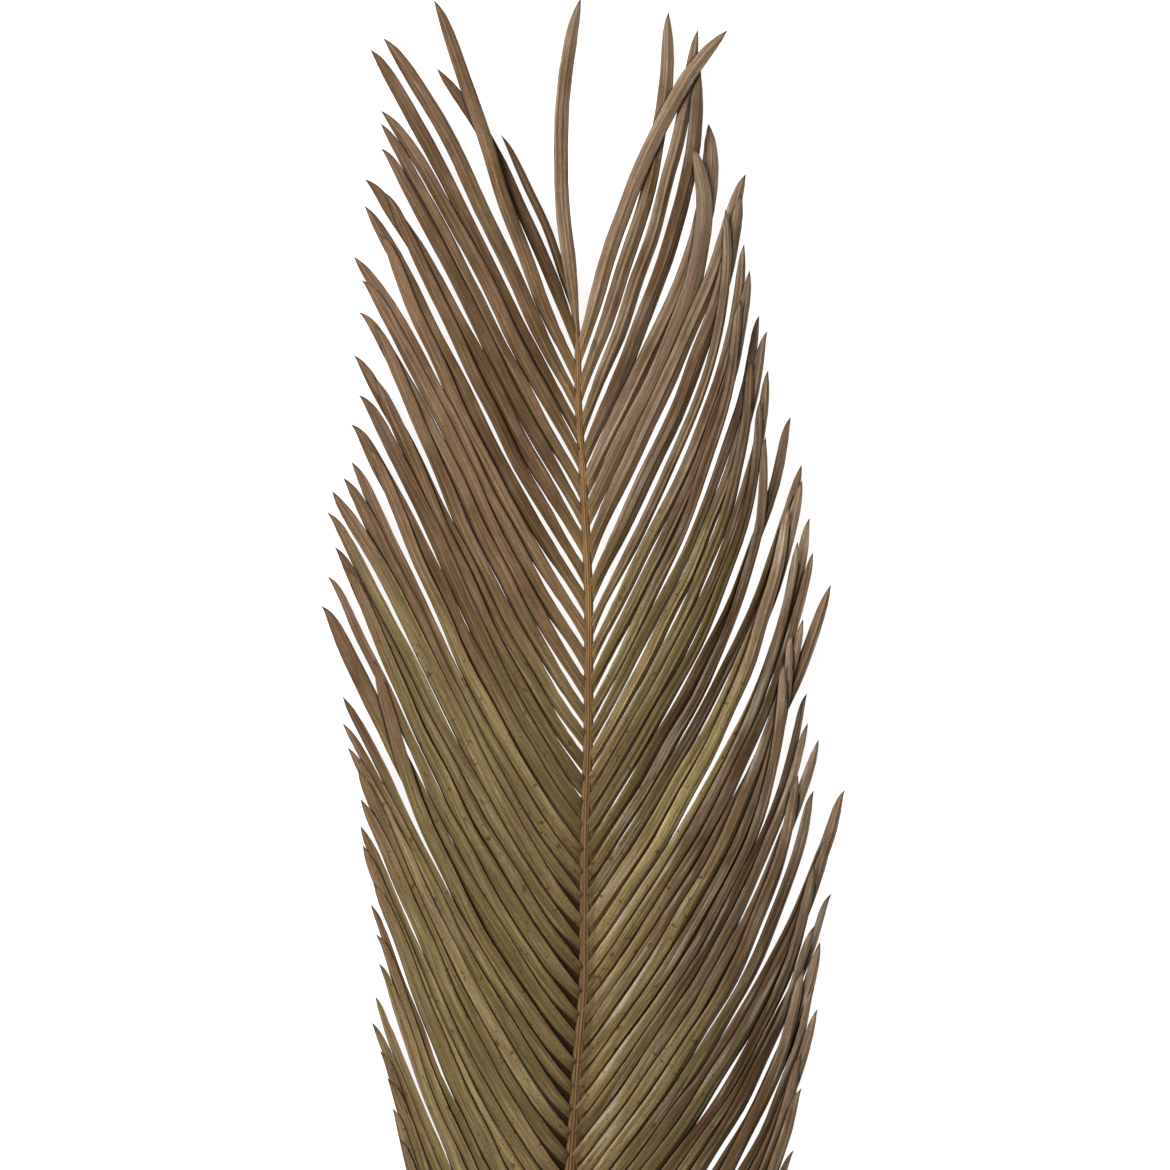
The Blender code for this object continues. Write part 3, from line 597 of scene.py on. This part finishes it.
def blade_grid(leaflet, heights, spacing, number):
    """The top and bottom surface of a fine blade, and what its material needs to know at each point."""
    draw = random.Random(FINE_SEED + number)
    length = length_of(leaflet)
    u = np.linspace(0, 1, round(FEWEST_ROWS + length / LENGTH_PER_ROW))
    t = u - BUNCHING * np.sin(2 * math.pi * u)
    s, free, side, line, lean = wavy_line(leaflet, heights, t, draw)
    shut = smooth_step((leaflet["root"] - SHUT_FROM) / SHUT_FROM_CHANGE)
    shut = shut * (1 - smooth_step((s - SHUT_UNTIL) / SHUT_UNTIL_CHANGE))
    half = strip_half_width(leaflet, t) + SHUT_GAP * shut * (length > SHUT_UNTIL)
    strays = [STRAY * wave(draw, STRAY_LENGTHS, s)[:, None] for _ in range(2)]
    sign = leaflet["sign"]
    fold = draw.uniform(*FOLDS[sign])
    crease = draw.uniform(*CREASES[sign])
    crease = crease * (1 - CREASE_CHANGE + CREASE_CHANGE * wave(draw, CREASE_LENGTHS, s)) * free
    crease_count, crease_start = draw.uniform(*CREASE_COUNTS), draw.uniform(0, 2 * math.pi)
    olive = olive_share(leaflet, line, draw)
    tone, pick = draw.uniform(-1, 1), draw.uniform(0, 1)
    fold, tone = ODD_LOOKS.get(leaflet["tip"], (fold, tone))
    fold = fold + ROOT_FOLD * np.exp(-s / ROOT_FOLD_LENGTH)

    v = COLUMNS[None, :]
    x = v * np.maximum(half[:, None] * (1 + np.where(v > 0, *strays)), TIP_HALF)
    half_here = np.abs(x).max(axis=1, keepdims=True)
    share = np.minimum(half_here / (leaflet["width"] / 2), 1)
    crown = fold[:, None] * half_here * (1 - FOLD_BELOW - np.abs(v) ** FOLD_POWER)
    ridges = np.cos(math.pi * crease_count * v + crease_start) * (1 - v ** CREASE_POWER)
    roll = ROLL * share * np.clip((np.abs(v) - ROLL_FROM) / (1 - ROLL_FROM), 0, 1) ** 2
    base = crown + crease[:, None] * share * ridges - roll
    thickness = FINE_THICKNESS * (EDGE_SHARE + (1 - EDGE_SHARE) * (1 - np.abs(v) ** EDGE_POWER))
    thickness = thickness * (TIP_SHARE + (1 - TIP_SHARE) * share)
    ribs = [height * share * np.exp(-(x / width) ** 2) for height, width in (RIB_ABOVE, RIB_BELOW)]
    e1 = np.column_stack((side * np.cos(lean)[:, None], np.sin(lean)))
    e2 = np.column_stack((-side * np.sin(lean)[:, None], np.cos(lean)))
    low_end, high_end = root_line(leaflet, spacing)
    flare = LOWER_FLARE + (UPPER_FLARE - LOWER_FLARE) * (v + 1) / 2
    own = smooth_step(s[:, None] / flare)[:, :, None]
    along_root = ((v + 1) / 2)[:, :, None]
    root = low_end * (1 - along_root) + high_end * along_root
    surfaces = []
    for up in (thickness / 2 + ribs[0], -thickness / 2 - ribs[1]):
        strip = line[:, None] + e1[:, None] * x[:, :, None] + e2[:, None] * (base + up)[:, :, None]
        at_root = root + np.array((0, 0, 1.0)) * up[:, :, None]
        surfaces.append(at_root * (1 - own) + strip * own)
    marks = {
        "blade_place": in_threes(x, x, s[:, None], (s[-1] - s)[:, None]),
        "blade_look": in_threes(x, olive[:, None], tone, pick),
    }
    return surfaces, marks, half_here - np.abs(x)


def grid_faces(grid, turned):
    """The quads of a grid of numbered points, turned over for an underside."""
    quads = np.stack((grid[:-1, :-1], grid[:-1, 1:], grid[1:, 1:], grid[1:, :-1]), axis=2).reshape(-1, 4)
    return (quads[:, ::-1] if turned else quads).tolist()


def rim_faces(top, bottom, turned):
    """The quads that close a blade all round, between its top and its bottom grid."""
    upper, lower = [
        np.concatenate((grid[0], grid[1:, -1], grid[-1, -2::-1], grid[-2:0:-1, 0])) for grid in (top, bottom)
    ]
    quads = np.stack((upper, lower, np.roll(lower, -1), np.roll(upper, -1)), axis=1)
    return (quads[:, ::-1] if turned else quads).tolist()


def tube_faces(grid, turned=False):
    """The quads round a tube of rings of numbered points."""
    near, far = grid[:-1], grid[1:]
    quads = np.stack((near, np.roll(near, -1, 1), np.roll(far, -1, 1), far), axis=2).reshape(-1, 4)
    return (quads[:, (0, 3, 2, 1)] if turned else quads).tolist()


def in_threes(grid, *values):
    """Three numbers for each point of a grid."""
    return np.stack([value * np.ones_like(grid) for value in values], axis=-1).reshape(-1, 3)


def new_object(name, data):
    """An object in the scene with this mesh, lamp or camera."""
    thing = bpy.data.objects.new(name, data)
    bpy.context.scene.collection.objects.link(thing)
    return thing


def make_mesh(name, points, faces, marks):
    """A piece of the leaf, from points in millimetres, with the named marks that its material reads."""
    mesh = bpy.data.meshes.new(name)
    mesh.from_pydata(to_world(points).tolist(), [], faces)
    for mark, values in marks.items():
        layer = mesh.attributes.new(mark, "FLOAT_VECTOR", "POINT")
        layer.data.foreach_set("vector", np.ascontiguousarray(values, dtype=np.float32).ravel())
    mesh.shade_smooth()
    mesh.set_sharp_from_angle(angle=math.radians(SHARP_ANGLE))
    return new_object(name, mesh)


def blade_lines(blades):
    """Each blade's middle line and half width as seen from above, from its two edges."""
    lines = []
    for surfaces, _, _ in blades:
        close = round(LIFTED_FROM * len(surfaces[0]))
        one, other = surfaces[0][:close, 0, :2], surfaces[0][:close, -1, :2]
        lines.append(((one + other) / 2, np.linalg.norm(one - other, axis=1) / 2))
    return lines


def distance_to_cover(number, points, lines, leaflets):
    """How far a blade's points are, seen from above, from the nearest blade that lies over it."""
    nearest = np.full(len(points), FAR_OFF)
    for other, (middle, half) in enumerate(lines):
        if leaflets[other]["layer"] <= leaflets[number]["layer"] or boxes_apart(points, middle) > WIDEST:
            continue
        s, off = off_line(points, middle)
        s, off = np.clip(s, 0, 1), np.linalg.norm(off, axis=2)
        off[s[:, -1] == 1.0, -1] = FAR_OFF
        nearest = np.minimum(nearest, (off - half[:-1] - np.diff(half) * s).min(axis=1))
    return nearest


def make_leaflets(name, sign, blades, leaflets):
    """All the leaflets of one side, as one piece."""
    points, faces, marks = [], [], {}
    lines = blade_lines(blades)
    count = 0
    for number, leaflet in enumerate(leaflets):
        if leaflet["sign"] != sign:
            continue
        surfaces, blade_marks, edge = blades[number]
        near = distance_to_cover(number, surfaces[0][:, :, :2].reshape(-1, 2), lines, leaflets)
        top = count + np.arange(edge.size).reshape(edge.shape)
        bottom = top + edge.size
        faces += grid_faces(top, sign < 0) + grid_faces(bottom, sign > 0) + rim_faces(top, bottom, sign > 0)
        for under, surface in enumerate(surfaces):
            points.append(surface.reshape(-1, 3))
            own_marks = dict(
                blade_marks,
                blade_edge=in_threes(edge, edge, under, sign),
                blade_cover=in_threes(near, near, leaflet["root"], 0),
            )
            for mark, values in own_marks.items():
                marks.setdefault(mark, []).append(values)
        count += 2 * edge.size
    marks = {mark: np.concatenate(values) for mark, values in marks.items()}
    return make_mesh(name, np.concatenate(points), faces, marks)


def make_rachis(name):
    """The rachis and stalk: a ridged section swept along its path, with a cut end and spines."""
    top = -RACHIS_PATH[0][1]
    below = np.linspace(top, CUT_END, round((CUT_END - top) / RACHIS_ROW) + 1)
    across, along, width, lift = rachis_point(below)
    out, up = np.array(list(FINE_SECTION) + [(-out, up) for out, up in reversed(FINE_SECTION)]).T
    swell = SWELLING * (0.5 + 0.5 * np.cos(2 * math.pi * below / SWELLING_LENGTH)) * (below < LAST_LEAFLET)
    width = width * (1 - swell) * (TOP_SHARE + (1 - TOP_SHARE) * smooth_step((below - top) / TOP_LENGTH))
    ahead = np.stack((np.gradient(across), np.gradient(along)), axis=1)
    ahead /= np.linalg.norm(ahead, axis=1)[:, None]
    side = np.stack((-ahead[:, 1], ahead[:, 0]), axis=1)
    x, rise = width[:, None] * out, width[:, None] * up
    plan = np.stack((across, along), axis=1)[:, None] + side[:, None] * x[:, :, None]
    points = np.concatenate((plan, (lift[:, None] + rise)[:, :, None]), axis=2)
    grid = np.arange(x.size).reshape(x.shape)
    faces = tube_faces(grid) + [grid[0, ::-1].tolist(), grid[-1].tolist()]
    points, marks = points.reshape(-1, 3), in_threes(x, x, below[:, None], rise)
    spine_grid = np.arange(SPINE_ROWS * SPINE_COLUMNS).reshape(SPINE_ROWS, SPINE_COLUMNS)
    for root in SPINE_ROOTS:
        for sign in (-1, 1):
            faces += tube_faces(len(points) + spine_grid, True)
            points = np.concatenate((points, spine_points(root + sign * SPINE_STAGGER, sign)))
            spine_marks = np.linspace((0, root, 0), (0, root, SPINE_LENGTH), spine_grid.size)
            marks = np.concatenate((marks, spine_marks))
    return make_mesh(name, points, faces, {"stem_place": marks})


def spine_points(below, sign):
    """The points of a small curved spine on the edge of the stalk, ring by ring."""
    across, along, width, _ = rachis_point(below)
    seat = np.array((across + sign * SPINE_SEAT * width, along, root_height(below)))
    points = []
    for row in np.linspace(0, 1, SPINE_ROWS):
        angle = math.radians(SPINE_ANGLE + SPINE_CURVE * (1 - row)) * sign
        ahead = np.array((math.sin(angle), math.cos(angle), 0.0))
        side = np.array((math.cos(angle), -math.sin(angle), 0.0))
        foot = 1 + SPINE_FOOT * math.exp(-row * SPINE_FOOT_FADE)
        radius = SPINE_THICKNESS / 2 * (1 - row) ** SPINE_TAPER * foot + SPINE_POINT
        middle = seat + ahead * SPINE_LENGTH * (row - SPINE_SUNK)
        for turn in np.arange(SPINE_COLUMNS) * 2 * math.pi / SPINE_COLUMNS:
            points.append(middle + side * radius * math.cos(turn) + np.array((0, 0, radius * math.sin(turn))))
    return np.array(points)


def rgb(red, green, blue):
    """A colour given as 0 to 255 screen values, as the shaders want it."""
    channels = []
    for value in (red, green, blue):
        value /= 255
        channels.append(value / 12.92 if value <= 0.04045 else ((value + 0.055) / 1.055) ** 2.4)
    return (*channels, 1.0)


class Nodes:
    """Builds a material's nodes with short calls that return sockets."""

    def __init__(self, name):
        self.material = bpy.data.materials.new(name)
        self.material.use_nodes = True
        self.tree = self.material.node_tree
        self.shader = self.tree.nodes["Principled BSDF"]
        self.place = (0, 0, 0)

    def put(self, socket, value):
        if hasattr(value, "is_output"):
            self.tree.links.new(value, socket)
        else:
            socket.default_value = value

    def add(self, kind, *values, **settings):
        """A new node with these settings, and these values in its first inputs."""
        node = self.tree.nodes.new("ShaderNode" + kind)
        for name, setting in settings.items():
            setattr(node, name, setting)
        for socket, value in zip(node.inputs, values):
            self.put(socket, value)
        return node

    def mark(self, name):
        """The three numbers of a mark on the mesh."""
        vector = self.add("Attribute", attribute_name=name).outputs["Vector"]
        return tuple(self.add("SeparateXYZ", vector).outputs)

    def math(self, operation, a, b=0.0):
        return self.add("Math", a, b, operation=operation).outputs[0]

    def times(self, product, *factors):
        for factor in factors:
            product = self.math("MULTIPLY", product, factor)
        return product

    def plus(self, total, *terms):
        for term in terms:
            total = self.math("ADD", total, term)
        return total

    def span(self, value, low, high, to_low=0.0, to_high=1.0):
        """value from low to high, smoothly turned into to_low to to_high."""
        values = (value, low, high, to_low, to_high)
        return self.add("MapRange", *values, interpolation_type="SMOOTHSTEP").outputs[0]

    def vector(self, x, y, z):
        return self.add("CombineXYZ", x, y, z).outputs[0]

    def noise(self, place, scale=1, detail=2, roughness=0.5):
        return self.add("TexNoise", place, 0, scale, detail, roughness).outputs["Fac"]

    def streaks(self, across, along, detail=3, roughness=0.6):
        """Noise drawn out along a piece, by the place across and along it and one more number."""
        x, s, other = self.place
        place = self.vector(self.times(x, across), self.times(s, along), other)
        return self.noise(place, 1, detail, roughness)

    def mix(self, factor, a, b, blend="MIX"):
        node = self.add("Mix", data_type="RGBA", blend_type=blend)
        for name, value in (("Factor", factor), ("A", a), ("B", b)):
            self.put(node.inputs[name], value)
        return node.outputs["Result"]

    def layers(self, colour, *layers):
        """A colour under layers, each with how much of it shows and its colour."""
        for share, layer in layers:
            colour = self.mix(share, colour, layer)
        return colour

    def grey(self, value):
        """A number as a grey colour."""
        return self.add("CombineColor", value, value, value).outputs[0]

    def dress(self, colour, roughness, specular, height, strength):
        """The shader's colour, roughness and specular level, and bumps by a height of 0 to 1."""
        self.put(self.shader.inputs["Base Color"], colour)
        self.put(self.shader.inputs["Roughness"], roughness)
        self.shader.inputs["Specular IOR Level"].default_value = specular
        node = self.add("Bump")
        node.inputs["Strength"].default_value = strength
        node.inputs["Distance"].default_value = BUMP_DEPTH
        self.put(node.inputs["Height"], height)
        self.put(self.shader.inputs["Normal"], node.outputs["Normal"])


TAUPE = rgb(125, 99, 73)
TAUPE_GREY = rgb(126, 104, 84)
TAUPE_DARK = rgb(90, 64, 38)
OLIVE = rgb(112, 97, 58)
OLIVE_PALE = rgb(138, 122, 81)
ROOT_TAN = rgb(121, 97, 62)
TIP_RED = rgb(111, 82, 63)
TIP_GREY = rgb(138, 118, 98)
TIP_DARK = rgb(62, 52, 46)
RIB_TAN = rgb(142, 116, 82)
EDGE_DARK = rgb(76, 58, 38)
# Painted highlight: the pale grey of a painted sheen along the leaflets
PAINTED_SHEEN_GREY = rgb(160, 149, 130)
STREAK_RED = rgb(131, 97, 79)
STREAK_OLIVE = rgb(116, 99, 61)
SPOT_BROWN = rgb(84, 54, 31)
# Painted shade: the dark brown of crevices beside overlying leaflets and of wedges at the roots
PAINTED_SHADE_BROWN = rgb(42, 24, 6)
UNDER_TAN = rgb(132, 110, 82)
RACHIS_GOLD = rgb(157, 121, 73)
RACHIS_BROWN = rgb(140, 103, 62)
RACHIS_OLIVE = rgb(119, 90, 57)
ROOT_BROWN = rgb(104, 79, 49)
GROOVE_BROWN = rgb(74, 48, 26)
STALK_TAN = rgb(136, 108, 68)
PITH_PALE = rgb(172, 146, 104)
PITH_BROWN = rgb(98, 72, 44)


def leaflet_material():
    """Dry leaflets: lengthwise streaks, midrib and edges, olive inside, brown spots and dark points, with a
    painted sheen, and painted shade in crevices, at the roots and low on the right.

    Spans read noise, or millimetres across or along a leaflet or below the top of the rachis.
    """
    n = Nodes("dried_leaflets")
    span, times, plus, streaks_of = n.span, n.times, n.plus, n.streaks
    x, s, to_tip = n.mark("blade_place")
    olive, tone, pick = n.mark("blade_look")
    edge, under, sign = n.mark("blade_edge")
    cover, below, _ = n.mark("blade_cover")
    n.place = (x, s, times(pick, STREAKS_APART))

    def by_side(left, right):
        """A number for the left leaflets and one for the right ones."""
        return span(sign, -1, 1, left, right)

    streaks, fine = streaks_of(1.3, 0.022), streaks_of(3.4, 0.09, 2)
    patches, broad = streaks_of(0.10, 0.040, 2), streaks_of(0.45, 0.028, 2)
    grain, speckle = streaks_of(2.4, 1.5), streaks_of(1.5, 0.35)
    hue = streaks_of(0.85, 0.017, 2)

    # Brown and olive leaflets, pale or dark by their tone, with painted shade darkening them low on the right
    right = by_side(0, 1)
    tone = times(tone, by_side(0.10, 0.17))
    brown = n.mix(span(plus(patches, tone), 0.30, 0.70), TAUPE_DARK, n.mix(right, TAUPE, TAUPE_GREY))
    painted_low_shade = times(right, span(below, 280, 380, 0, 0.85), span(to_tip, 8, 45))
    brown = n.mix(painted_low_shade, brown, TAUPE_DARK)
    green = n.mix(span(plus(broad, tone), 0.33, 0.72), OLIVE, OLIVE_PALE)

    # Streaks, tan roots, reddish ends, a painted grey sheen (painted highlight), a paler underside, the
    # midrib and the rim
    red = times(span(to_tip, 4, 60, 0.55, 0), span(patches, 0.3, 0.6, 0.4, 1))
    painted_sheen_strength = times(right, span(below, 150, 280, 0.18, 0.60))
    painted_sheen = times(span(broad, 0.52, 0.70), plus(painted_sheen_strength, 0.12), span(s, 6, 26, 0.3, 1))
    width = n.math("ABSOLUTE", x)
    beside_rib = times(span(width, 0.42, 0.70), span(width, 0.70, 1.25, 1, 0), 0.34)
    colour = n.layers(
        n.mix(olive, brown, green),
        (span(hue, 0.52, 0.68, 0, 0.42), STREAK_RED),
        (span(hue, 0.32, 0.48, 0.42, 0), STREAK_OLIVE),
        (span(s, 2, 32, 0.65, 0), ROOT_TAN),
        (red, n.mix(right, TIP_RED, TIP_GREY)),
        (painted_sheen, PAINTED_SHEEN_GREY),
        (times(under, 0.35), UNDER_TAN),
        (span(width, 0.20, 0.52, 0.34, 0), RIB_TAN),
        (beside_rib, TAUPE_DARK),
        (span(edge, 0.06, 0.42, 0.42, 0), n.mix(olive, EDGE_DARK, RIB_TAN)),
    )

    # Light and dark: by streaks, by side and by each one's tone, with painted light and shade along the leaf
    # on the right and near the roots
    light = times(
        span(streaks, 0.34, 0.66, 0.76, 1.24),
        span(fine, 0.32, 0.68, 0.82, 1.18),
        span(grain, 0.3, 0.7, 0.87, 1.13),
        span(speckle, 0.3, 0.7, 0.90, 1.10),
        by_side(0.912, 1.02),
    )
    right_light_and_shade = plus(span(below, 150, 230, 0, 0.12), span(below, 270, 370, 0, -0.29))
    pale_end = times(span(below, 150, 230), span(to_tip, 12, 48, 0.29, 0))
    right_light_and_shade = times(right, plus(right_light_and_shade, pale_end))
    root_light_and_shade = span(below, 80, 170, by_side(0.28, -0.04), by_side(-0.20, -0.10))
    root_light_and_shade = times(span(s, 4, 22, 1, 0), root_light_and_shade)
    light = times(light, plus(right_light_and_shade, root_light_and_shade, 1), plus(tone, 1))
    colour = n.mix(1, colour, n.grey(light), "MULTIPLY")

    # Brown spots and dots, dark points, and painted shade: dark crevices beside the leaflets that lie over
    # this one and dark wedges at the roots
    spots = times(span(streaks_of(0.42, 0.30, 3, 0.5), 0.63, 0.71), span(olive, 0.1, 0.7, 0.20, 0.80))
    dots = times(span(streaks_of(1.1, 0.9, 1), 0.68, 0.74), span(olive, 0.1, 0.7, 0.05, 0.62))
    shade_wedge = plus(times(span(s, 3, 19, 1, 0), by_side(2.2, 0.05)), by_side(0.1, 0.38))
    shade_wedge = times(shade_wedge, span(below, 165, 235))
    painted_crevice_shade = span(cover, times(shade_wedge, 0.85), plus(shade_wedge, 0.9), 0.95, 0)
    at_root = times(span(below, 185, 225), by_side(1, 0.4))
    painted_crevice_shade = times(painted_crevice_shade, n.math("SUBTRACT", 1, under), n.math("MAXIMUM", span(s, 10, 30), at_root))
    colour = n.layers(
        colour,
        (n.math("MAXIMUM", spots, dots), SPOT_BROWN),
        (span(to_tip, 0.6, 3.4, 0.85, 0), TIP_DARK),
        (painted_crevice_shade, PAINTED_SHADE_BROWN),
    )
    ridges = plus(times(streaks, 0.7), times(fine, 0.3))
    n.dress(colour, span(streaks, 0.3, 0.7, 0.64, 0.46), 0.13, ridges, 1)
    return n.material


def rachis_material():
    """The rachis and stalk: golden brown, with lengthwise fibres, dark grooves and a pale cut end."""
    n = Nodes("dried_rachis")
    span, times = n.span, n.times
    n.place = x, below, up = n.mark("stem_place")
    fibres, patches = n.streaks(2.6, 0.04), n.streaks(0.3, 0.07, 2)
    grain = n.streaks(2.0, 1.1)
    out = n.math("DIVIDE", n.math("ABSOLUTE", x), span(below, 0, CUT_END, 2.9, 7.8))
    leafy = span(below, 480, 560, 1, 0.25)
    grooves = times(span(out, 0.085, 0.115), span(out, 0.165, 0.20, 1, 0), times(leafy, 0.6))
    colour = n.layers(
        n.mix(span(patches, 0.35, 0.65), RACHIS_BROWN, RACHIS_GOLD),
        (span(below, 70, 210, 0, 0.8), RACHIS_OLIVE),
        (span(below, 440, 560, 0, 0.8), STALK_TAN),
        (times(leafy, span(out, 0.20, 0.34, 0, 0.8)), ROOT_BROWN),
        (grooves, GROOVE_BROWN),
    )
    light = times(span(fibres, 0.32, 0.68, 0.76, 1.24), span(grain, 0.25, 0.75, 0.9, 1.1))
    colour = n.mix(1, colour, n.grey(light), "MULTIPLY")
    bundles = n.noise(n.vector(x, up, 0), 1.9)
    pith = n.mix(span(bundles, 0.42, 0.60), PITH_BROWN, PITH_PALE)
    colour = n.mix(span(below, CUT_END - 0.06, CUT_END - 0.02), colour, pith)
    n.dress(colour, span(fibres, 0.3, 0.7, 0.62, 0.44), 0.28, fibres, 0.9)
    return n.material


def make_camera():
    """Straight down on the part of the leaf that the photograph shows, with the leaf's tip at the top."""
    middle = PHOTO_PIXELS / 2
    x = ((middle - TOP_PIXEL[0]) * MM_PER_PIXEL - CENTRE_ACROSS) * MM
    y = ((TOP_PIXEL[1] - middle) * MM_PER_PIXEL + CENTRE_ALONG) * MM
    half_view = PHOTO_PIXELS * MM_PER_PIXEL * MM / 2
    distance = half_view / (SENSOR / 2 / LENS)
    data = bpy.data.cameras.new("camera")
    data.lens, data.sensor_width = LENS, SENSOR
    camera = new_object("camera", data)
    camera.location = (x, y, LEAF_HEIGHT + distance)
    bpy.context.scene.camera = camera


def make_floor():
    """A plain white surface under the leaf, clear seen from below."""
    mesh = bpy.data.meshes.new("floor")
    corners = [(x * FLOOR_REACH, y * FLOOR_REACH, 0) for x, y in ((-1, -1), (1, -1), (1, 1), (-1, 1))]
    mesh.from_pydata(corners, [], [(0, 1, 2, 3)])
    floor = new_object("floor", mesh)
    n = Nodes("white_floor")
    for name, value in FLOOR_LOOKS.items():
        n.shader.inputs[name].default_value = value
    below = n.add("NewGeometry").outputs["Backfacing"]
    clear = n.add("BsdfTransparent").outputs[0]
    both = n.add("MixShader", below, n.shader.outputs[0], clear)
    n.put(n.tree.nodes["Material Output"].inputs["Surface"], both.outputs[0])
    mesh.materials.append(n.material)


def make_lights():
    """Plain soft light: a large pale panel high at the upper left, a weaker one opposite, and a pale sky."""
    for name, place, size, power in LAMPS:
        data = bpy.data.lights.new(name, "AREA")
        data.shape, data.size, data.energy = "SQUARE", size, power
        light = new_object(name, data)
        light.location = place
        light.rotation_euler = (-light.location).to_track_quat("-Z", "Y").to_euler()
    world = bpy.data.worlds.new("white_sky")
    world.use_nodes = True
    sky = world.node_tree.nodes["Background"]
    sky.inputs["Color"].default_value = SKY_COLOUR
    sky.inputs["Strength"].default_value = SKY_STRENGTH
    bpy.context.scene.world = world
    bpy.context.scene.view_settings.view_transform = "Standard"


def root_spacings(leaflets):
    """The distance from each leaflet's root to the next one down on its side."""
    roots = leaflet_roots()
    spacings = []
    for leaflet in leaflets:
        lower = [root for root in roots[leaflet["sign"]] if root > leaflet["root"]]
        spacings.append(min(lower) - leaflet["root"] if lower else SHORT_LENGTH)
    return spacings


def main():
    make_camera()
    leaflets = list_leaflets()
    heights = settle(leaflets)
    spacings = root_spacings(leaflets)
    blades = [
        blade_grid(leaflet, heights[number], spacings[number], number)
        for number, leaflet in enumerate(leaflets)
    ]
    dry_blades = leaflet_material()
    pieces = (
        (make_leaflets("leaflets_left", -1, blades, leaflets), dry_blades),
        (make_leaflets("leaflets_right", 1, blades, leaflets), dry_blades),
        (make_rachis("rachis_and_stalk"), rachis_material()),
    )
    for piece, material in pieces:
        piece.data.materials.append(material)
        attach(piece, "root")
        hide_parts(NODE)
    make_floor()
    make_lights()


main()
